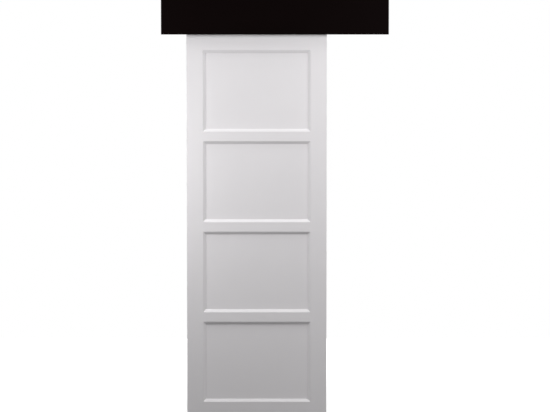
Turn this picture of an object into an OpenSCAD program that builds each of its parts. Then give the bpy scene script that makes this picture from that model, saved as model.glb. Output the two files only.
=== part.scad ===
// Surface sliding door: a four-panel leaf that hangs from two trolleys in a track behind a pelmet.
// Seen from the front, +X is to the right, +Y is towards the wall and +Z is up.
// The origin is on the floor, under the middle of the pelmet and half way through its depth.

/* [Leaf] */
// Width of the leaf
leaf_w = 730; // [630:10:830]
// Height of the leaf
leaf_h = 2040; // [1940:10:2240]
// Thickness of the leaf
leaf_t = 40; // [36:1:44]
// Flat face width of the two stiles
stile_face = 84; // [72:1:110]
// Flat face height of the top and bottom rails
end_rail_face = 100; // [96:1:140]
// Flat face height of the middle rails
mid_rail_face = 50; // [44:1:80]
// Width of the bevel round every panel, seen from the front
bevel_w = 14; // [10:1:20]
// Thickness of the flat panels
panel_t = 12; // [10:1:14]

/* [Pelmet] */
// Length of the pelmet
pelmet_l = 1180; // [1140:10:1500]
// Height of the pelmet
pelmet_h = 190; // [180:5:240]
// Thickness of the pelmet boards
board_t = 16; // [16:1:19]
// How far the pelmet hangs down over the top of the leaf
pelmet_overlap = 20; // [10:1:30]

/* [Position] */
// Left end of the pelmet to the left edge of the leaf
left_overhang = 130; // [30:5:200]
// Floor to the underside of the leaf
floor_gap = 10; // [8:1:12]
// Wall to the back of the leaf
wall_gap = 16; // [12:1:25]
// Front of the leaf to the back of the pelmet's front board
fascia_gap = 12; // [8:1:20]

/* [Sliding gear] */
// Distance between the two trolleys
hanger_spacing = 400; // [360:10:420]
// Top of the leaf to the underside of the track
track_gap = 26; // [25:1:32]
// Width of the track
track_w = 44; // [42:1:48]
// Height of the track
track_h = 40; // [38:1:46]
// Running radius of the trolley wheels, at the bottom of the tread
wheel_run_r = 11.5; // [10.5:0.5:12]

/* [Hidden] */
$fn = 48;

// Levels, all measured up from the floor
leaf_top = floor_gap + leaf_h;
pelmet_z = leaf_top - pelmet_overlap;
pelmet_top = pelmet_z + pelmet_h;
track_z = leaf_top + track_gap;
batten_z = track_z + track_h;
batten_h = pelmet_top - board_t - batten_z;

// Places across the depth and the length
pelmet_d = wall_gap + leaf_t + fascia_gap + board_t;
wall_y = pelmet_d / 2;
fascia_back_y = board_t - pelmet_d / 2;
leaf_y = wall_y - wall_gap - leaf_t / 2;
leaf_x = left_overhang + leaf_w / 2 - pelmet_l / 2;
inner_l = pelmet_l - 2 * board_t;

// Joinery of the leaf: the recess of the panels is a bevel that ends in a small quirk
quirk = 1.5;
groove_d = 12;
panel_play = 2;
leaf_ease = 1.5;
stile_w = stile_face + bevel_w;
rail_blank_l = leaf_w - stile_face;
panel_open_h = (leaf_h - 2 * end_rail_face - 3 * mid_rail_face) / 4;
panel_pitch = panel_open_h + mid_rail_face;
guide_groove_w = 10;
guide_groove_d = 20;
hole_play = 0.1;
hole_spare = 1;
rail_dowel_d = 8;
rail_dowel_l = 90;
end_dowel_z = [44, 84];
mid_dowel_z = [-14, 14];

// Boards of the pelmet and the batten behind them
board_ease = 0.8;
return_recess = 8;
batten_end_play = 2;
batten_l = inner_l - 2 * batten_end_play;
batten_d = pelmet_d - board_t;
end_fixing_inset = 62;
wall_hole_d = 9;
wall_hole_pitch = (batten_l - 2 * end_fixing_inset) / 3;
wall_hole_x = [for (i = [-1.5:1.5]) i * wall_hole_pitch];
wall_hole_z = batten_z + batten_h / 2;
washer_seat_d = 24;
washer_seat_depth = 10;
board_dowel_d = 8;
board_dowel_l = 30;
board_dowel_depth = 11;
top_dowel_inset = 54;
top_dowel_x = [for (i = [-2:2]) i * (inner_l / 4 - top_dowel_inset / 2)];
side_dowel_inset = 16;
side_dowel_y = [fascia_back_y + side_dowel_inset, wall_y - side_dowel_inset];
return_dowel_z = [for (i = [0.2, 0.5, 0.8]) pelmet_z + i * pelmet_h];
pelmet_screw_d = 5;
pelmet_screw_l = 50;
pelmet_screw_x = [for (i = [-1:1]) i * wall_hole_pitch];

// Track: a box section with a slot below and a round bead along each lower flange
track_wall = 2.6;
track_web = 3;
flange_t = 3.2;
slot_w = 14;
bead_r = 2.2;
bead_y = 12.5;
track_ease = 0.6;
track_l = batten_l;
track_screw_d = 4.5;
track_screw_l = 35;
track_screw_x = [for (i = [-2:2]) i * (track_l / 4 - end_fixing_inset / 2)];

// Trolleys: four grooved wheels on two pins through a flat body
run_gap = 0.3;
axle_z = track_z + flange_t + bead_r + run_gap + wheel_run_r;
wheel_rim = 1.5;
wheel_r = wheel_run_r + wheel_rim;
wheel_w = 7;
wheel_play = 0.05;
tread_r = bead_r + run_gap;
axle_d = 6;
axle_pitch = 64;
axle_head_d = 9.2;
axle_head_t = 1.6;
side_play = 0.2;
trolley_l = 92;
trolley_h = 18;
trolley_w = 10;
axle_boss_d = 11;
bolt_boss_d = 13.6;
pocket_l = 15;
pocket_w = 10;
pocket_d = 2;

// Hangers: a bolt in each trolley, held under the bridge of a bent strip on top of the leaf
bolt_d = 8;
hex_flats = 13;
hex_turned = 0.8;
bolt_head_h = 5.3;
nut_h = 4;
thread_play = 0.03;
strip_t = 4;
strip_w = 34;
strip_l = 108;
strip_corner_r = 6;
bridge_top = 15;
bridge_w = 40;
bend_r = 2;
bolt_slot_w = bolt_d + 0.6;
bracket_screw_d = 4.5;
bracket_screw_l = 40;
bracket_screw_x = [-42, -30, 30, 42];
bracket_screw_y = [9, -9, 9, -9];

// Stops: the leaf comes to rest this far from the pelmet's end boards
end_gap = 6;
stop_gap = 1;
stop_l = 36;
stop_w = 34;
stop_h = 26;
stop_ease = 1;
tongue_play = 1;
stop_screw_d = 6;
stop_screw_z = track_z + 4;
socket_w = 3.4;
socket_depth = 4;
buffer_l = 8;
buffer_d = 15;
buffer_tip_d = 11;
buffer_tip_l = 3;
slide_limit = pelmet_l / 2 - board_t - end_gap - leaf_w / 2;
buffer_x = slide_limit + hanger_spacing / 2 + trolley_l / 2 + stop_gap;

// Floor guide: a fin that stands in the groove under the leaf
guide_l = 90;
guide_w = 34;
guide_base_t = 4;
guide_fin_l = 46;
guide_fin_w = 8;
guide_fin_lead = 2;
guide_fin_top = floor_gap + guide_groove_d - 4;
guide_hole_d = 4.6;
guide_head_d = 9.6;
guide_head_depth = 2.5;
guide_hole_pitch = guide_l - guide_w;

// Names of the pieces that repeat
SIDES = ["left", "right"];
MID_RAILS = ["lower_rail", "middle_rail", "upper_rail"];
PANELS = ["bottom_panel", "lower_panel", "upper_panel", "top_panel"];
AXLES = [1, 2];
WHEELS = [1, 2, 3, 4];
function sided(side, piece) = str(SIDES[side], "_", piece);
function numbered(side, piece, n) = str(SIDES[side], "_", piece, "_", n);

// Colours of the finishes
WHITE_LACQUER = "#dedcdf";
BLACK_LACQUER = "#0a0808";
PINE = "#d8b483";
BEECH = "#cfa878";
ALUMINIUM = "#c3c6c9";
ZINC = "#b4b8bb";
NYLON = "#e6e3da";
RUBBER = "#26262a";

// Shared shapes

module eased_rect(w, h, ease) {
    polygon([
        [ease, 0], [w - ease, 0], [w, ease], [w, h - ease],
        [w - ease, h], [ease, h], [0, h - ease], [0, ease]
    ]);
}

// Box with a small chamfer on all of its edges
module eased_box(size, ease) {
    intersection() {
        linear_extrude(size.z) eased_rect(size.x, size.y, ease);
        translate([0, size.y, 0]) rotate([90, 0, 0])
            linear_extrude(size.y) eased_rect(size.x, size.z, ease);
        translate([0, 0, size.z]) rotate([0, 90, 0])
            linear_extrude(size.x) eased_rect(size.z, size.y, ease);
    }
}

// Flat bar with round ends, lying along X and centred on the origin
module stadium_2d(l, w) {
    square([l - w, w], center = true);
    for (s = [-1, 1]) translate([s * (l - w) / 2, 0]) circle(d = w);
}

// Plate with round corners, centred on the origin
module rounded_rect(l, w, r) {
    square([l - 2 * r, w], center = true);
    square([l, w - 2 * r], center = true);
    for (sx = [-1, 1]) for (sy = [-1, 1]) translate([sx * (l / 2 - r), sy * (w / 2 - r)]) circle(r = r);
}

module along_x(l, d) {
    rotate([0, 90, 0]) cylinder(d = d, h = l, center = true);
}

module along_y(l, d) {
    rotate([90, 0, 0]) cylinder(d = d, h = l, center = true);
}

// Hexagon head or nut, with its corners turned off at both ends
module hexagon(h) {
    corner_d = hex_flats / cos(30);
    end_d = hex_flats - hex_turned;
    intersection() {
        cylinder(d = corner_d, h = h, $fn = 6);
        union() {
            cylinder(d1 = end_d, d2 = corner_d, h = hex_turned);
            translate([0, 0, hex_turned]) cylinder(d = 2 * corner_d, h = h - 2 * hex_turned);
            translate([0, 0, h - hex_turned]) cylinder(d1 = corner_d, d2 = end_d, h = hex_turned);
        }
    }
}

// A hole with play round its dowel is also a little deeper than the dowel
function hole_l(dowel_l, play) = dowel_l + (play > 0 ? hole_spare : 0);

// Wood screw with its flat head at z = 0 and its point at z = -l
module countersunk_screw(d, l, play = 0) {
    head = 0.5 * d;
    point = 1.2 * d;
    translate([0, 0, -head]) cylinder(d1 = d + 2 * play, d2 = 2 * d + 2 * play, h = head);
    translate([0, 0, point - l]) cylinder(d = d + 2 * play, h = l - point - head / 2);
    translate([0, 0, -l]) cylinder(d1 = 0.2 * d + 2 * play, d2 = d + 2 * play, h = point);
}

// Frame of reference of the leaf: centre of its lower edge
module in_leaf() {
    translate([leaf_x, leaf_y, floor_gap]) children();
}

// Frame of reference of a hanger: on the floor under its bolt
module in_hanger(side) {
    translate([leaf_x + sign_of(side) * hanger_spacing / 2, leaf_y, 0]) children();
}

function sign_of(side) = 2 * side - 1;

// Leaf

// Half of a moulded edge: off the flat face, down the bevel and the quirk, into the panel groove
function moulded_edge(face) = [
    [face, leaf_t / 2],
    [face + bevel_w, panel_t / 2 + quirk],
    [face + bevel_w, panel_t / 2],
    [face + bevel_w - groove_d, panel_t / 2]
];
function scaled(points, sx, sy) = [for (p = points) [p.x * sx, p.y * sy]];
function reversed(points) = [for (i = [len(points) - 1:-1:0]) points[i]];

// Section of a stile or an end rail: square outside, moulded towards the panels
module outer_section(face) {
    edge = moulded_edge(face);
    polygon(concat([[0, leaf_t / 2]], edge, reversed(scaled(edge, 1, -1)), [[0, -leaf_t / 2]]));
}

// Section of a middle rail: moulded on both sides
module middle_section(face) {
    edge = moulded_edge(face / 2);
    polygon(concat(
        edge, reversed(scaled(edge, 1, -1)), scaled(edge, -1, -1), reversed(scaled(edge, -1, 1))));
}

module eased_leaf() {
    translate([-leaf_w / 2, -leaf_t / 2, 0]) eased_box([leaf_w, leaf_t, leaf_h], leaf_ease);
}

module stile_blank(side) {
    mirror([side, 0, 0]) translate([-leaf_w / 2, 0, 0]) linear_extrude(leaf_h) outer_section(stile_face);
}

function mid_rail_z(i) = end_rail_face + (i + 1) * panel_pitch - mid_rail_face / 2;
function panel_z(i) = end_rail_face + i * panel_pitch + panel_open_h / 2;

// Heights of all the dowels that join the rails to the stiles
rail_dowel_z = concat(
    end_dowel_z,
    [for (i = [0:2]) for (z = mid_dowel_z) mid_rail_z(i) + z],
    [for (z = end_dowel_z) leaf_h - z]);

module rail_dowel_pattern(play) {
    for (s = [-1, 1]) for (z = rail_dowel_z)
        translate([s * (leaf_w / 2 - stile_w), 0, z])
            along_x(hole_l(rail_dowel_l, play), rail_dowel_d + 2 * play);
}

module guide_groove() {
    translate([-leaf_w, -guide_groove_w / 2, -1])
        cube([2 * leaf_w, guide_groove_w, guide_groove_d + 1]);
}

// A stile runs the full height and carries the moulding unbroken
module stile(side) {
    color(WHITE_LACQUER) difference() {
        in_leaf() difference() {
            intersection() {
                eased_leaf();
                stile_blank(side);
            }
            rail_dowel_pattern(hole_play);
            guide_groove();
        }
        bracket_screw_pattern(hole_play);
    }
}

// A rail is cut from a blank that overlaps the stiles, so its ends are scribed over their moulding
// and fill their grooves
module scribed_rail() {
    difference() {
        intersection() {
            eased_leaf();
            children();
        }
        stile_blank(0);
        stile_blank(1);
        rail_dowel_pattern(hole_play);
    }
}

module top_rail() {
    color(WHITE_LACQUER) difference() {
        in_leaf() scribed_rail()
            translate([0, 0, leaf_h]) rotate([0, 90, 0])
                linear_extrude(rail_blank_l, center = true) outer_section(end_rail_face);
        bracket_screw_pattern(hole_play);
    }
}

module bottom_rail() {
    color(WHITE_LACQUER) in_leaf() difference() {
        scribed_rail()
            rotate([0, -90, 0])
                linear_extrude(rail_blank_l, center = true) outer_section(end_rail_face);
        guide_groove();
    }
}

module mid_rail(i) {
    color(WHITE_LACQUER) in_leaf() scribed_rail()
        translate([0, 0, mid_rail_z(i)]) rotate([0, 90, 0])
            linear_extrude(rail_blank_l, center = true) middle_section(mid_rail_face);
}

// A flat panel sits in the grooves with a little play for movement
module panel(i) {
    inset = bevel_w - groove_d + panel_play;
    w = leaf_w - 2 * stile_face - 2 * inset;
    h = panel_open_h - 2 * inset;
    color(WHITE_LACQUER) in_leaf()
        translate([-w / 2, -panel_t / 2, panel_z(i) - h / 2]) cube([w, panel_t, h]);
}

module rail_dowels() {
    color(BEECH) in_leaf() rail_dowel_pattern(0);
}

// Pelmet and batten

module board_dowel_pattern(play) {
    d = board_dowel_d + 2 * play;
    l = hole_l(board_dowel_l, play);
    top_z = pelmet_top - board_t / 2;
    // Each dowel sits deeper in the board that it meets end on
    middle = board_dowel_l / 2 - board_dowel_depth;
    for (x = top_dowel_x) translate([x, fascia_back_y + middle, top_z]) along_y(l, d);
    for (s = [-1, 1]) {
        for (z = return_dowel_z)
            translate([s * (pelmet_l - board_t) / 2, fascia_back_y + middle, z]) along_y(l, d);
        for (y = side_dowel_y)
            translate([s * (inner_l / 2 - middle), y, top_z]) along_x(l, d);
    }
}

module pelmet_fascia() {
    color(BLACK_LACQUER) difference() {
        translate([-pelmet_l / 2, -pelmet_d / 2, pelmet_z])
            eased_box([pelmet_l, board_t, pelmet_h], board_ease);
        board_dowel_pattern(hole_play);
    }
}

// An end board stops a little above the lower edge of the front board, which hides its end grain
module pelmet_return(side) {
    color(BLACK_LACQUER) difference() {
        translate([side == 0 ? -pelmet_l / 2 : inner_l / 2, fascia_back_y, pelmet_z + return_recess])
            eased_box([board_t, batten_d, pelmet_h - return_recess], board_ease);
        board_dowel_pattern(hole_play);
    }
}

module pelmet_top() {
    color(BLACK_LACQUER) difference() {
        translate([-inner_l / 2, fascia_back_y, pelmet_top - board_t])
            eased_box([inner_l, batten_d, board_t], board_ease);
        board_dowel_pattern(hole_play);
        pelmet_screw_pattern(hole_play);
    }
}

module pelmet_dowels() {
    color(BEECH) board_dowel_pattern(0);
}

module pelmet_screw_pattern(play) {
    for (x = pelmet_screw_x)
        translate([x, fascia_back_y + batten_d / 2, pelmet_top])
            countersunk_screw(pelmet_screw_d, pelmet_screw_l, play);
}

module pelmet_screws() {
    color(ZINC) pelmet_screw_pattern(0);
}

// Timber batten that is bolted to the wall and carries the track and the pelmet
module wall_batten() {
    color(PINE) difference() {
        translate([-batten_l / 2, fascia_back_y, batten_z])
            eased_box([batten_l, batten_d, batten_h], board_ease);
        for (x = wall_hole_x) {
            translate([x, 0, wall_hole_z]) along_y(2 * pelmet_d, wall_hole_d);
            translate([x, fascia_back_y, wall_hole_z]) along_y(2 * washer_seat_depth, washer_seat_d);
        }
        pelmet_screw_pattern(hole_play);
        track_screw_pattern(hole_play);
    }
}

// Track and stops

module track_section() {
    difference() {
        translate([-track_w / 2, 0]) eased_rect(track_w, track_h, track_ease);
        translate([track_wall - track_w / 2, flange_t])
            square([track_w - 2 * track_wall, track_h - flange_t - track_web]);
        translate([-slot_w / 2, -1]) square([slot_w, flange_t + 2]);
    }
    for (s = [-1, 1]) translate([s * bead_y, flange_t]) circle(r = bead_r);
}

module track() {
    color(ALUMINIUM) difference() {
        translate([0, leaf_y, track_z]) rotate([90, 0, 90])
            linear_extrude(track_l, center = true) track_section();
        track_screw_pattern(hole_play);
    }
}

module track_screw_pattern(play) {
    for (x = track_screw_x)
        translate([x, leaf_y, batten_z - track_web]) rotate([180, 0, 0])
            countersunk_screw(track_screw_d, track_screw_l, play);
}

module track_screws() {
    color(ZINC) track_screw_pattern(0);
}

stop_z = track_z + flange_t + bead_r;

// Frame of reference of a stop: on its trolley's side, with +X away from the trolley
module in_stop(side) {
    mirror([1 - side, 0, 0]) translate([buffer_x, leaf_y, 0]) children();
}

// Block that stands on the two beads, with a tongue in the slot
module end_stop(side) {
    color(ZINC) in_stop(side) difference() {
        union() {
            translate([buffer_l, -stop_w / 2, stop_z]) eased_box([stop_l, stop_w, stop_h], stop_ease);
            translate([buffer_l, tongue_play - slot_w / 2, track_z + tongue_play])
                cube([stop_l, slot_w - 2 * tongue_play, stop_z - track_z]);
        }
        translate([buffer_l + stop_l / 2, 0, track_z])
            cylinder(d = stop_screw_d + 2 * thread_play, h = track_h);
    }
}

module stop_buffer(side) {
    color(RUBBER) in_stop(side) translate([0, 0, axle_z]) rotate([0, 90, 0]) {
        cylinder(d1 = buffer_tip_d, d2 = buffer_d, h = buffer_tip_l);
        translate([0, 0, buffer_tip_l]) cylinder(d = buffer_d, h = buffer_l - buffer_tip_l);
    }
}

// Set screws that wedge the stops against the inside of the track, turned from below
module stop_screws() {
    color(ZINC) for (side = [0, 1]) in_stop(side)
        translate([buffer_l + stop_l / 2, 0, stop_screw_z]) difference() {
            cylinder(d = stop_screw_d, h = batten_z - track_web - stop_screw_z);
            translate([0, 0, -1]) cylinder(d = socket_w, h = socket_depth + 1, $fn = 6);
        }
}

// Trolleys

function axle_x(n) = (n - 1.5) * axle_pitch;
module in_axle(side, n) {
    in_hanger(side) translate([axle_x(n), 0, axle_z]) children();
}

module axle(side, n) {
    shank = 2 * (bead_y + wheel_w / 2 + side_play);
    color(ZINC) in_axle(side, n) {
        along_y(shank, axle_d);
        for (s = [-1, 1]) translate([0, s * (shank + axle_head_t) / 2, 0])
            along_y(axle_head_t, axle_head_d);
    }
}

// Wheels 1 and 2 share the first axle, 3 and 4 the second; odd ones are at the front
function wheel_axle(n) = ceil(n / 2);
function wheel_y(n) = bead_y * (n % 2 == 1 ? -1 : 1);

// Grooved wheel: bored for its axle, with a tread that follows the bead and a sunk web on both faces
module wheel_section() {
    web_r = [5.2, 9.6];
    web_sink = 1.3;
    difference() {
        translate([axle_d / 2 + wheel_play, -wheel_w / 2])
            square([wheel_r - axle_d / 2 - wheel_play, wheel_w]);
        translate([wheel_run_r + tread_r, 0]) circle(r = tread_r);
        for (s = [-1, 1]) translate([web_r[0], s * wheel_w / 2 - web_sink])
            square([web_r[1] - web_r[0], 2 * web_sink]);
    }
}

module wheel(side, n) {
    color(NYLON) in_axle(side, wheel_axle(n)) translate([0, wheel_y(n), 0])
        rotate([90, 0, 0]) rotate_extrude() wheel_section();
}

// Shallow pockets that lighten the body between its bosses, on both faces
module trolley_pockets() {
    pocket_x = (axle_pitch / 2 - axle_boss_d / 2 + bolt_boss_d / 2) / 2;
    for (sx = [-1, 1]) for (sy = [-1, 1])
        translate([sx * pocket_x, sy * trolley_w / 2, 0]) rotate([90, 0, 0])
            linear_extrude(2 * pocket_d, center = true) stadium_2d(pocket_l, pocket_w);
}

// Flat body with round ends, bosses that space the wheels, and a tapped hole for the hanger bolt
module trolley_body(side) {
    boss_l = 2 * (bead_y - wheel_w / 2 - side_play);
    color(ZINC) in_hanger(side) translate([0, 0, axle_z]) difference() {
        union() {
            rotate([90, 0, 0]) linear_extrude(trolley_w, center = true) stadium_2d(trolley_l, trolley_h);
            cylinder(d = bolt_boss_d, h = trolley_h, center = true);
            for (n = AXLES) translate([axle_x(n), 0, 0]) along_y(boss_l, axle_boss_d);
        }
        for (n = AXLES) translate([axle_x(n), 0, 0]) along_y(track_w, axle_d + 2 * thread_play);
        cylinder(d = bolt_d + 2 * thread_play, h = 2 * trolley_h, center = true);
        trolley_pockets();
    }
}

// Hangers

// Quarter of a bent strip, from the direction of +X round to +Y
module bend_2d() {
    intersection() {
        difference() {
            circle(r = bend_r + strip_t);
            circle(r = bend_r);
        }
        square(bend_r + strip_t);
    }
}

// Half of the bracket's outline, to the right of the bolt: foot, bend, rise, bend and half bridge
module half_bracket_2d() {
    out_r = bend_r + strip_t;
    rise_x = bridge_w / 2 - strip_t;
    square_from([rise_x + out_r, 0], [strip_l / 2, strip_t]);
    translate([rise_x + out_r, out_r]) rotate(180) bend_2d();
    square_from([rise_x, out_r], [rise_x + strip_t, bridge_top - out_r]);
    translate([rise_x - bend_r, bridge_top - out_r]) bend_2d();
    square_from([0, bridge_top - strip_t], [rise_x - bend_r, bridge_top]);
}

module square_from(low, high) {
    translate(low) square(high - low);
}

// Bent strip with a bridge; its slot lets the bolt in from the front
module hanger_bracket(side) {
    color(ZINC) difference() {
        in_hanger(side) translate([0, 0, leaf_top]) difference() {
            intersection() {
                rotate([90, 0, 0]) linear_extrude(strip_w, center = true) {
                    half_bracket_2d();
                    mirror([1, 0]) half_bracket_2d();
                }
                linear_extrude(bridge_top) rounded_rect(strip_l, strip_w, strip_corner_r);
            }
            translate([0, 0, bridge_top - 1.5 * strip_t]) {
                cylinder(d = bolt_slot_w, h = 2 * strip_t);
                translate([-bolt_slot_w / 2, -strip_w, 0]) cube([bolt_slot_w, strip_w, 2 * strip_t]);
            }
        }
        bracket_screw_pattern(hole_play);
    }
}

module bracket_screw_pattern(play) {
    for (side = [0, 1]) in_hanger(side) for (i = [0:3])
        translate([bracket_screw_x[i], bracket_screw_y[i], leaf_top + strip_t])
            countersunk_screw(bracket_screw_d, bracket_screw_l, play);
}

module bracket_screws() {
    color(ZINC) bracket_screw_pattern(0);
}

bolt_seat_z = leaf_top + bridge_top - strip_t;

module hanger_bolt(side) {
    tip_z = axle_z + trolley_h / 2 - 1;
    color(ZINC) in_hanger(side) translate([0, 0, bolt_seat_z]) {
        translate([0, 0, -bolt_head_h]) hexagon(bolt_head_h);
        cylinder(d = bolt_d, h = tip_z - bolt_seat_z);
    }
}

module lock_nut(side) {
    color(ZINC) in_hanger(side) translate([0, 0, leaf_top + bridge_top]) difference() {
        hexagon(nut_h);
        translate([0, 0, -1]) cylinder(d = bolt_d + 2 * thread_play, h = nut_h + 2);
    }
}

// Floor guide

// Half of the fin's section, narrowed at the top to lead it into the groove
module half_fin_2d() {
    half_w = guide_fin_w / 2;
    shoulder = guide_fin_top - guide_fin_lead;
    tip_w = half_w - guide_fin_lead;
    polygon([[0, 0], [half_w, 0], [half_w, shoulder], [tip_w, guide_fin_top], [0, guide_fin_top]]);
}

module floor_guide() {
    straight_l = guide_fin_l - guide_fin_w;
    color(RUBBER) translate([0, leaf_y, 0]) difference() {
        union() {
            linear_extrude(guide_base_t) stadium_2d(guide_l, guide_w);
            rotate([90, 0, 90]) linear_extrude(straight_l, center = true) {
                half_fin_2d();
                mirror([1, 0]) half_fin_2d();
            }
            for (s = [-1, 1]) translate([s * straight_l / 2, 0, 0]) rotate_extrude() half_fin_2d();
        }
        for (s = [-1, 1]) translate([s * guide_hole_pitch / 2, 0, 0]) {
            translate([0, 0, -1]) cylinder(d = guide_hole_d, h = guide_base_t + 2);
            translate([0, 0, guide_base_t - guide_head_depth])
                cylinder(d1 = guide_hole_d, d2 = guide_head_d, h = guide_head_depth);
        }
    }
}

wall_batten();
track();
track_screws();
stop_screws();
pelmet_fascia();
pelmet_top();
pelmet_dowels();
pelmet_screws();
floor_guide();
top_rail();
bottom_rail();
rail_dowels();
bracket_screws();
for (i = [0:2]) mid_rail(i);
for (i = [0:3]) panel(i);
for (side = [0, 1]) {
    pelmet_return(side);
    end_stop(side);
    stop_buffer(side);
    stile(side);
    hanger_bracket(side);
    hanger_bolt(side);
    lock_nut(side);
    trolley_body(side);
    for (n = AXLES) axle(side, n);
    for (n = WHEELS) wheel(side, n);
}
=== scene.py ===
import math

import bmesh
import bpy
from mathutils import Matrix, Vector


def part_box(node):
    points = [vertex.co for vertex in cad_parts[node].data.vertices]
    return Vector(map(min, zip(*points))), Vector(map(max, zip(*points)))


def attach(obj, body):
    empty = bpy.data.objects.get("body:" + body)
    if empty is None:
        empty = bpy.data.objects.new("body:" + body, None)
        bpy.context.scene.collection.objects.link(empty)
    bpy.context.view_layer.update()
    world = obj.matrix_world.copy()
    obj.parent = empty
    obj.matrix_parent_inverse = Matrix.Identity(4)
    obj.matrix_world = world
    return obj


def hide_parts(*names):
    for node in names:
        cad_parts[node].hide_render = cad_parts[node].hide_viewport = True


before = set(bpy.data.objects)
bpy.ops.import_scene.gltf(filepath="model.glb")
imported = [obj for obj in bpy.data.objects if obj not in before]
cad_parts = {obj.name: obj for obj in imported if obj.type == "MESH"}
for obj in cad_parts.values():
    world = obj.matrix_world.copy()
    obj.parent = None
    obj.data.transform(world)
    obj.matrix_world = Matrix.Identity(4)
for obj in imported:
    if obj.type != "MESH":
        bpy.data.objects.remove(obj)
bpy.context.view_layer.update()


# Wall batten
# A planed softwood beam, drilled for the wall screws, that carries the track and the pelmet.
# It is sawn beside a pith that leans a little, so the growth rings cut its back in long arches.

class Wire:
    """A socket in a node tree. Sums on it add Math nodes, and node() adds a node of any other kind."""

    def __init__(self, tree, socket=None):
        self.tree = tree
        self.socket = socket

    def node(self, kind, settings=None, inputs=None, output=0):
        made = self.tree.nodes.new(kind)
        for name, value in (settings or {}).items():
            setattr(made, name, value)
        for name, value in (inputs or {}).items():
            for each in value if isinstance(value, list) else [value]:
                if isinstance(each, Wire):
                    self.tree.links.new(each.socket, made.inputs[name])
                else:
                    made.inputs[name].default_value = each
        return Wire(self.tree, made.outputs[output] if len(made.outputs) else None)

    def maths(self, operation, first, second=0.0):
        return self.node("ShaderNodeMath", {"operation": operation}, {0: first, 1: second})

    def __add__(self, other):
        return self.maths("ADD", self, other)

    def __sub__(self, other):
        return self.maths("SUBTRACT", self, other)

    def __rsub__(self, other):
        return self.maths("SUBTRACT", other, self)

    def __mul__(self, other):
        return self.maths("MULTIPLY", self, other)

    def __truediv__(self, other):
        return self.maths("DIVIDE", self, other)

    def __rtruediv__(self, other):
        return self.maths("DIVIDE", other, self)

    def __pow__(self, other):
        return self.maths("POWER", self, other)

    def __rpow__(self, other):
        return self.maths("POWER", other, self)

    __radd__ = __add__
    __rmul__ = __mul__


def noise(wire, place, cells_per_metre, detail=2.0):
    """Smooth noise from 0 to 1, with its own number of cells in a metre along X, Y and Z."""
    stretched = wire.node("ShaderNodeVectorMath", {"operation": "MULTIPLY"}, {0: place, 1: cells_per_metre})
    return wire.node("ShaderNodeTexNoise", inputs={"Vector": stretched, "Scale": 1.0, "Detail": detail})


def tint(wire, share, low, high):
    """The colour low where share is 0, and high where it is 1."""
    return wire.node("ShaderNodeMix", {"data_type": "RGBA"}, {0: share, 6: (*low, 1.0), 7: (*high, 1.0)}, 2)


def relief(wire, height, depth):
    """A normal bent by a height from 0 to 1 that stands for a real depth in metres."""
    return wire.node("ShaderNodeBump", inputs={"Height": height, "Distance": depth})


def make_finish(name, recipe):
    """A material whose shader takes the sockets that the recipe returns."""
    material = bpy.data.materials.new(name)
    material.use_nodes = True
    material.node_tree.nodes.clear()
    wire = Wire(material.node_tree)
    place = wire.node("ShaderNodeTexCoord", output="Object")
    shader = wire.node("ShaderNodeBsdfPrincipled", inputs=recipe(wire, place))
    wire.node("ShaderNodeOutputMaterial", inputs={"Surface": shader})
    return material


def dress(finish, *names):
    """Gives a finish to solids that keep their own shape."""
    for name in names:
        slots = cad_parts[name].data.materials
        slots.clear()
        slots.append(finish)


def planed_pine(wire, place):
    low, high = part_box("wall_batten")
    pith_y, pith_z = low.y - 0.012, low.z + 0.6 * (high.z - low.z)
    pith_lean, pith_wander = 0.035, 0.02
    ring_width = 0.0042
    x, y, z = (wire.node("ShaderNodeSeparateXYZ", inputs={"Vector": place}, output=axis) for axis in "XYZ")
    sway = (noise(wire, place, (2.0, 9.0, 9.0)) - 0.5) * pith_wander
    off_y = y - pith_y + x * pith_lean + sway
    off_z = z - pith_z + sway * 1.5
    radius = (off_y * off_y + off_z * off_z) ** 0.5
    late_wood = wire.maths("FRACT", radius / ring_width) ** 4.0
    fibre = noise(wire, place, (16.0, 900.0, 900.0), detail=3.0)
    tone = noise(wire, place, (2.0, 12.0, 12.0))
    share = late_wood * 0.55 + fibre * 0.25 + tone * 0.2
    return {
        "Base Color": tint(wire, share, (0.66, 0.45, 0.235), (0.40, 0.205, 0.075)),
        "Roughness": 0.5 + fibre * 0.2,
        "Normal": relief(wire, fibre + late_wood, 0.00012),
    }


dress(make_finish("planed pine", planed_pine), "wall_batten")


# Track
# An aluminium box section with a slot and two running beads, extruded in one length and left mill-finished.
# The die leaves fine lines along it.

def drawn_aluminium(wire, place):
    lines = noise(wire, place, (3.0, 1400.0, 1400.0), detail=4.0)
    clouds = noise(wire, place, (9.0, 40.0, 40.0))
    return {
        "Base Color": tint(wire, clouds, (0.56, 0.57, 0.58), (0.67, 0.675, 0.68)),
        "Metallic": 1.0,
        "Roughness": 0.36 + lines * 0.18,
        "Normal": relief(wire, lines, 0.00002),
    }


dress(make_finish("drawn aluminium", drawn_aluminium), "track")


# Track screws
# Zinc-plated countersunk wood screws with a cross recess, driven up through the track into the batten.
# The head is pressed and the thread rolled on one wire, with a thinner core between the turns.

def zinc_plate(wire, place):
    patches = noise(wire, place, (260.0, 260.0, 260.0), detail=3.0)
    blush = noise(wire, place, (70.0, 70.0, 70.0))
    return {
        "Base Color": tint(wire, blush, (0.55, 0.575, 0.60), (0.63, 0.625, 0.59)),
        "Metallic": 1.0,
        "Roughness": 0.24 + patches * 0.2,
        "Normal": relief(wire, patches, 0.00002),
    }


zinc = make_finish("zinc plate", zinc_plate)


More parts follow.
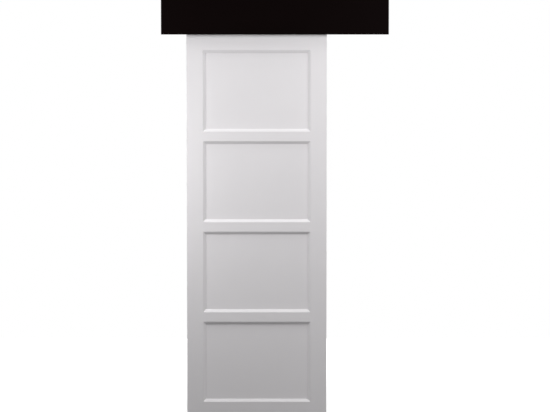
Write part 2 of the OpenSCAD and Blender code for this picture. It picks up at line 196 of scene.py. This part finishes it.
def start_tree(name, *sizes):
    """A node tree with inputs for seats, sizes, a turn and a finish, and the wires of those inputs."""
    tree = bpy.data.node_groups.new(name, "GeometryNodeTree")
    kinds = {"Seats": "Geometry", **dict.fromkeys(sizes, "Float"), "Turn": "Rotation", "Finish": "Material"}
    for label, kind in kinds.items():
        tree.interface.new_socket(label, in_out="INPUT", socket_type="NodeSocket" + kind)
    tree.interface.new_socket("Piece", in_out="OUTPUT", socket_type="NodeSocketGeometry")
    wire = Wire(tree)
    group = wire.node("NodeGroupInput").socket.node
    return wire, {socket.name: Wire(tree, socket) for socket in group.outputs if socket.name}


def end_tree(wire, given, piece):
    """Puts the piece on every seat and gives it its finish."""
    placed = wire.node("GeometryNodeInstanceOnPoints", inputs={
        "Points": given["Seats"], "Instance": piece, "Rotation": given["Turn"]})
    real = wire.node("GeometryNodeRealizeInstances", inputs={0: placed})
    finished = wire.node("GeometryNodeSetMaterial", inputs={"Geometry": real, "Material": given["Finish"]})
    wire.node("NodeGroupOutput", inputs={0: finished})
    return wire.tree


def shift(wire, piece, z=0.0, turn=(0.0, 0.0, 0.0)):
    """Moves a piece along its axis and turns it."""
    move = wire.node("ShaderNodeCombineXYZ", inputs={"Z": z})
    return wire.node("GeometryNodeTransform", inputs={
        "Geometry": piece, "Translation": move, "Rotation": turn})


def turned_rod(wire, radius, top, length, facets=32):
    """A solid rod that hangs down from top."""
    rod = wire.node("GeometryNodeMeshCylinder", inputs={
        "Vertices": facets, "Radius": radius, "Depth": length})
    return shift(wire, rod, top - length / 2)


def turned_cone(wire, wide, narrow, top, length, facets=32):
    """A solid cone that hangs down from top, wide end up."""
    cone = wire.node("GeometryNodeMeshCone", inputs={
        "Vertices": facets, "Radius Top": wide, "Radius Bottom": narrow, "Depth": length})
    return shift(wire, cone, top - length)


def rolled_thread(wire, radius, depth, pitch, top, length):
    """A ridge that winds round a rod from top downwards."""
    turns = length / pitch
    path = wire.node("GeometryNodeCurveSpiral", inputs={
        "Resolution": 20, "Rotations": turns, "Height": length,
        "Start Radius": radius, "End Radius": radius})
    ridge = wire.node("GeometryNodeCurvePrimitiveCircle", inputs={"Resolution": 4, "Radius": depth})
    thread = wire.node("GeometryNodeCurveToMesh", inputs={
        "Curve": path, "Profile Curve": ridge, "Fill Caps": True})
    return shift(wire, thread, top - length)


def carve(wire, operation, piece, others):
    """Joins a piece with others, cuts it by them or trims it to them."""
    links = {0: piece, 1: others} if operation == "DIFFERENCE" else {1: [piece] + others}
    return wire.node("GeometryNodeMeshBoolean", {"operation": operation, "solver": "EXACT"}, links)


def countersunk_tree():
    """Wood screw with its flat head at the seat and its point below."""
    wire, given = start_tree("Countersunk screw", "Diameter", "Length")
    d, length = given["Diameter"], given["Length"]
    core, ridge, pitch = d * 0.36, d * 0.13, d * 0.42
    head, point, recess = d * 0.5, d * 1.2, d * 0.45
    shaft_top, thread_top = head * -0.6, head * -1.6
    shaft = turned_rod(wire, core, shaft_top, length - point + shaft_top)
    tip = turned_cone(wire, core, d * 0.06, point - length, point)
    neck = turned_cone(wire, d, d * 0.5, 0.0, head)
    thread = rolled_thread(wire, core, ridge, pitch, thread_top, length - point + thread_top)
    blank = carve(wire, "UNION", shaft, [neck, tip, thread])
    blade_size = wire.node("ShaderNodeCombineXYZ", inputs={"X": d * 1.05, "Y": d * 0.2, "Z": recess * 2.0})
    blade = wire.node("GeometryNodeMeshCube", inputs={"Size": blade_size})
    cross = [shift(wire, blade, turn=(0.0, 0.0, turn)) for turn in (0.0, math.pi / 2)]
    return end_tree(wire, given, carve(wire, "DIFFERENCE", blank, cross))


def solids_of(name):
    """The lowest and highest corners of each separate solid in a node."""
    shell = bmesh.new()
    shell.from_mesh(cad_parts[name].data)
    bmesh.ops.remove_doubles(shell, verts=shell.verts, dist=1e-6)
    waiting, found = set(shell.verts), []
    while waiting:
        reached, front = set(), [waiting.pop()]
        while front:
            vert = front.pop()
            reached.add(vert)
            beside = [edge.other_vert(vert) for edge in vert.link_edges]
            front += [other for other in beside if other in waiting]
            waiting.difference_update(beside)
        spread = [sorted(vert.co[axis] for vert in reached) for axis in range(3)]
        found.append((Vector(s[0] for s in spread), Vector(s[-1] for s in spread)))
    shell.free()
    return sorted(found, key=lambda corners: tuple(round(c, 5) for c in corners[0]))


def build_on(tree, name, seats, body, stands_for, sizes):
    """Runs a tree on a set of seats, keeps the result as a plain mesh and fits it to its body."""
    mesh = bpy.data.meshes.new(name)
    mesh.from_pydata(seats, [], [])
    piece = bpy.data.objects.new(name, mesh)
    bpy.context.scene.collection.objects.link(piece)
    maker = piece.modifiers.new("maker", "NODES")
    maker.node_group = tree
    for socket in tree.interface.items_tree:
        if socket.in_out == "INPUT" and socket.name in sizes:
            maker[socket.identifier] = sizes[socket.name]
    bpy.context.view_layer.update()
    shape = piece.evaluated_get(bpy.context.evaluated_depsgraph_get())
    piece.data = bpy.data.meshes.new_from_object(shape)
    piece.modifiers.remove(maker)
    for face in piece.data.polygons:
        face.use_smooth = True
    piece.data.set_sharp_from_angle(angle=math.radians(32))
    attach(piece, body)
    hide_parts(stands_for)
    return piece


countersunk = countersunk_tree()


def drive_screws(name, node, body, facing):
    """Screws where the node has its plain ones: facing is 1 with the heads up and -1 with them down."""
    solids = solids_of(node)
    low, high = solids[0]
    seats = [((a.x + b.x) / 2, (a.y + b.y) / 2, b.z if facing > 0 else a.z) for a, b in solids]
    build_on(countersunk, name, seats, body, node, {
        "Diameter": (high.x - low.x) / 2, "Length": high.z - low.z,
        "Turn": (0.0 if facing > 0 else math.pi, 0.0, 0.3), "Finish": zinc})


drive_screws("track_screw_set", "track_screws", "header", facing=-1)


# End stops
# Die-cast blocks that stand on the beads in the track and keep the trolleys from running on.
# Casting leaves a fine grain on them; a set screw turned from below wedges each against the track.

def cast_zinc(wire, place):
    grain = noise(wire, place, (900.0, 900.0, 900.0), detail=3.0)
    flow = noise(wire, place, (60.0, 60.0, 60.0))
    return {
        "Base Color": tint(wire, flow, (0.40, 0.405, 0.41), (0.50, 0.50, 0.505)),
        "Metallic": 1.0,
        "Roughness": 0.4 + grain * 0.22,
        "Normal": relief(wire, grain, 0.00006),
    }


cast = make_finish("cast zinc", cast_zinc)
dress(cast, "left_end_stop", "right_end_stop")
dress(zinc, "stop_screws")


# Stop buffers
# Moulded rubber pads on the stops that take the knock of a trolley.
# The rubber is dull, with a faint bloom.

def moulded_rubber(wire, place):
    bloom = noise(wire, place, (150.0, 150.0, 150.0), detail=3.0)
    pores = noise(wire, place, (1500.0, 1500.0, 1500.0))
    return {
        "Base Color": tint(wire, bloom, (0.014, 0.014, 0.015), (0.04, 0.04, 0.042)),
        "Roughness": 0.68 + bloom * 0.2,
        "Normal": relief(wire, pores, 0.00005),
    }


dress(make_finish("moulded rubber", moulded_rubber), "left_stop_buffer", "right_stop_buffer")


# Pelmet
# Four boards, sprayed matt black, that box in the track and cover the top of the leaf.
# They are dowelled together and screwed down to the batten through the top board.

def black_lacquer(wire, place):
    peel = noise(wire, place, (420.0, 420.0, 420.0), detail=2.0)
    haze = noise(wire, place, (7.0, 7.0, 7.0), detail=3.0)
    return {
        "Base Color": tint(wire, haze, (0.0022, 0.0010, 0.0010), (0.0032, 0.0016, 0.0016)),
        "Roughness": 0.5 + haze * 0.16,
        "Specular IOR Level": 0.015,
        "Normal": relief(wire, peel, 0.00006),
    }


dress(
    make_finish("black lacquer", black_lacquer),
    "pelmet_fascia", "pelmet_top", "left_pelmet_return", "right_pelmet_return")


def fluted_beech(wire, place):
    fibre = noise(wire, place, (350.0, 350.0, 350.0), detail=3.0)
    flecks = noise(wire, place, (60.0, 400.0, 400.0))
    return {
        "Base Color": tint(wire, fibre * 0.5 + flecks * 0.5, (0.60, 0.40, 0.22), (0.43, 0.26, 0.13)),
        "Roughness": 0.55 + fibre * 0.15,
        "Normal": relief(wire, fibre, 0.0001),
    }


beech = make_finish("fluted beech", fluted_beech)
dress(beech, "pelmet_dowels")
drive_screws("pelmet_screw_set", "pelmet_screws", "header", facing=1)


# Floor guide
# A moulded nylon foot, screwed to the floor, whose fin stands in the groove under the leaf.
# Spark-eroded tooling gives it a fine even texture.

def black_nylon(wire, place):
    spark = noise(wire, place, (1100.0, 1100.0, 1100.0))
    sheen = noise(wire, place, (40.0, 40.0, 40.0))
    return {
        "Base Color": tint(wire, sheen, (0.022, 0.022, 0.024), (0.032, 0.032, 0.034)),
        "Roughness": 0.42 + spark * 0.18,
        "Normal": relief(wire, spark, 0.00008),
    }


dress(make_finish("black nylon", black_nylon), "floor_guide")


# Leaf
# Stiles and rails of timber round four flat panels, scribed and dowelled together, sprayed satin white.
# The lacquer lies in a fine orange peel, and the fibres below it show as a faint lift along each member.

def white_lacquer(along):
    stretch = [420.0, 420.0, 420.0]
    stretch["XYZ".index(along)] = 14.0

    def recipe(wire, place):
        peel = noise(wire, place, (330.0, 330.0, 330.0), detail=1.5)
        fibre = noise(wire, place, tuple(stretch), detail=2.0)
        cloud = noise(wire, place, (5.0, 5.0, 5.0), detail=2.0)
        return {
            "Base Color": tint(wire, cloud, (0.785, 0.765, 0.781), (0.808, 0.788, 0.803)),
            "Roughness": 0.36 + cloud * 0.06 + peel * 0.06,
            "Specular IOR Level": 0.35,
            "Normal": relief(wire, peel * 0.35 + fibre * 0.65, 0.00045),
        }

    return recipe


upright = make_finish("white lacquer, upright", white_lacquer("Z"))
level = make_finish("white lacquer, level", white_lacquer("X"))
dress(upright, "left_stile", "right_stile", "top_panel", "upper_panel", "lower_panel", "bottom_panel")
dress(level, "top_rail", "upper_rail", "middle_rail", "lower_rail", "bottom_rail")
dress(beech, "rail_dowels")


# Hangers
# Bent steel strips screwed on top of the leaf, each with a bolt under its bridge that sets the height.
# All of it is zinc-plated, and a nut on top of the bridge locks the bolt.

dress(zinc, "left_hanger_bracket", "right_hanger_bracket", "left_lock_nut", "right_lock_nut")
drive_screws("bracket_screw_set", "bracket_screws", "leaf", facing=1)


def hanger_bolt_tree():
    """Set bolt with a turned hexagon head below the seat and a thread above it."""
    wire, given = start_tree("Hanger bolt", "Diameter", "Length", "Flats", "Head Height", "Pitch")
    d, length, flats = given["Diameter"], given["Length"], given["Flats"]
    head, pitch = given["Head Height"], given["Pitch"]
    corner = flats * (0.5 / math.cos(math.pi / 6))
    depth = pitch * 0.42
    core = d * 0.5 - depth * 0.62
    blank = turned_rod(wire, corner, 0.0, head, facets=6)
    turned = turned_cone(wire, corner * 1.25, flats * 0.46, 0.0, head)
    hexagon = carve(wire, "INTERSECT", blank, [turned])
    shaft = turned_rod(wire, core, length, length + head * 0.4)
    thread = rolled_thread(
        wire, core + depth * 0.1, depth * 0.55, pitch, length - depth, length - depth * 2)
    return end_tree(wire, given, carve(wire, "UNION", hexagon, [shaft, thread]))


hanger_bolt = hanger_bolt_tree()
bolt_diameter, bolt_flats, bolt_pitch = 0.008, 0.013, 0.00125
strip_thickness = 0.004
for side in ("left", "right"):
    low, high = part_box(side + "_hanger_bolt")
    seat_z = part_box(side + "_lock_nut")[0].z - strip_thickness
    seat = ((low.x + high.x) / 2, (low.y + high.y) / 2, seat_z)
    build_on(hanger_bolt, side + "_threaded_bolt", [seat], "leaf", side + "_hanger_bolt", {
        "Diameter": bolt_diameter, "Length": high.z - seat_z, "Flats": bolt_flats,
        "Head Height": seat_z - low.z, "Pitch": bolt_pitch, "Turn": (0.0, 0.0, 0.0), "Finish": zinc})


# Trolleys
# Die-cast bodies in the track, each on two riveted steel axles with four grooved nylon wheels.
# The wheels are moulded in a creamy white that is a little cloudy.

def white_nylon(wire, place):
    blur = noise(wire, place, (120.0, 120.0, 120.0), detail=2.0)
    return {
        "Base Color": tint(wire, blur, (0.70, 0.685, 0.63), (0.76, 0.75, 0.71)),
        "Roughness": 0.34 + blur * 0.14,
        "Normal": relief(wire, blur, 0.00003),
    }


nylon = make_finish("white nylon", white_nylon)
for side in ("left", "right"):
    dress(cast, side + "_trolley_body")
    dress(zinc, *(f"{side}_axle_{n}" for n in (1, 2)))
    dress(nylon, *(f"{side}_wheel_{n}" for n in (1, 2, 3, 4)))


# Stage
# A pale studio floor that fades into a white surround. The camera, and the gloss of the object, see both
# as white, the light that they throw back is weaker, and the floor keeps the shadow of the object.

def seen_rays(wire):
    """1 for what the camera sees, in gloss or through glass too, and 0 for light that falls on things."""
    straight, mirrored, through = (
        wire.node("ShaderNodeLightPath", output=kind)
        for kind in ("Is Camera Ray", "Is Glossy Ray", "Is Transmission Ray"))
    return wire.maths("MAXIMUM", straight, wire.maths("MAXIMUM", mirrored, through))


floor_reach = 3.2


def studio_floor(wire, place):
    seen = seen_rays(wire)
    away = wire.node("ShaderNodeVectorMath", {"operation": "LENGTH"}, {0: place}, "Value")
    fade = wire.node("ShaderNodeMapRange", {"interpolation_type": "SMOOTHSTEP"}, {
        "Value": away, "From Min": 0.6, "From Max": floor_reach * 0.9, "To Min": 0.25, "To Max": 0.75})
    return {
        "Base Color": tint(wire, seen, (0.3, 0.3, 0.3), (0.9, 0.9, 0.9)),
        "Roughness": 1.0,
        "Specular IOR Level": 0.0,
        "Emission Color": seen * fade,
        "Emission Strength": 1.0,
    }


floor_mesh = bpy.data.meshes.new("studio_floor")
corners = [(x * floor_reach, y * floor_reach, 0.0) for x, y in ((-1, -1), (1, -1), (1, 1), (-1, 1))]
floor_mesh.from_pydata(corners, [], [(0, 1, 2, 3)])
floor = bpy.data.objects.new("studio_floor", floor_mesh)
bpy.context.scene.collection.objects.link(floor)
floor_mesh.materials.append(make_finish("studio floor", studio_floor))

world = bpy.data.worlds.new("studio surround")
world.use_nodes = True
world.node_tree.nodes.clear()
wire = Wire(world.node_tree)
ambient = 0.16
sky = wire.node("ShaderNodeBackground", inputs={"Color": seen_rays(wire) * (1.0 - ambient) + ambient})
wire.node("ShaderNodeOutputWorld", inputs={"Surface": sky})
bpy.context.scene.world = world


# Light
# A soft box on each side, a weak one close by on the left, and one under the ceiling that grazes the leaf
# and picks out the bevels; another behind the door lights its back.

def soft_box(name, place, size, watts):
    lamp = bpy.data.lights.new(name, "AREA")
    lamp.shape = "RECTANGLE"
    lamp.size, lamp.size_y = size
    lamp.energy = watts
    holder = bpy.data.objects.new(name, lamp)
    holder.location = place
    aim = Vector((-0.1, 0.0, 1.2))
    holder.rotation_euler = (aim - Vector(place)).to_track_quat("-Z", "Y").to_euler()
    bpy.context.scene.collection.objects.link(holder)


soft_box("left_soft_box", (-1.6, -1.3, 2.4), (0.9, 0.9), 15.3)
soft_box("right_soft_box", (1.4, -1.3, 2.1), (0.9, 0.9), 22.8)
soft_box("close_soft_box", (-1.0, -0.55, 1.35), (0.4, 0.9), 3.3)
soft_box("ceiling_soft_box", (-0.1, -1.3, 5.5), (2.0, 1.2), 42.0)
soft_box("rear_soft_box", (0.2, 2.4, 4.4), (2.6, 2.2), 125.0)


# Camera
# Straight in front of the door and a little above its middle, tilted down by about two degrees.
# A long lens keeps the edges of the leaf almost parallel.

camera_distance = 7.0
camera_tilt = 2.21
pixels_per_metre = 191.2
photo_width = 550
camera_data = bpy.data.cameras.new("camera")
camera_data.sensor_width = 36.0
camera_data.lens = pixels_per_metre * camera_distance * camera_data.sensor_width / photo_width
camera = bpy.data.objects.new("camera", camera_data)
camera.location = (0.0005, -camera_distance, 1.409)
camera.rotation_euler = (math.radians(90.0 - camera_tilt), 0.0, 0.0)
bpy.context.scene.collection.objects.link(camera)
bpy.context.scene.camera = camera
bpy.context.scene.view_settings.view_transform = "Standard"
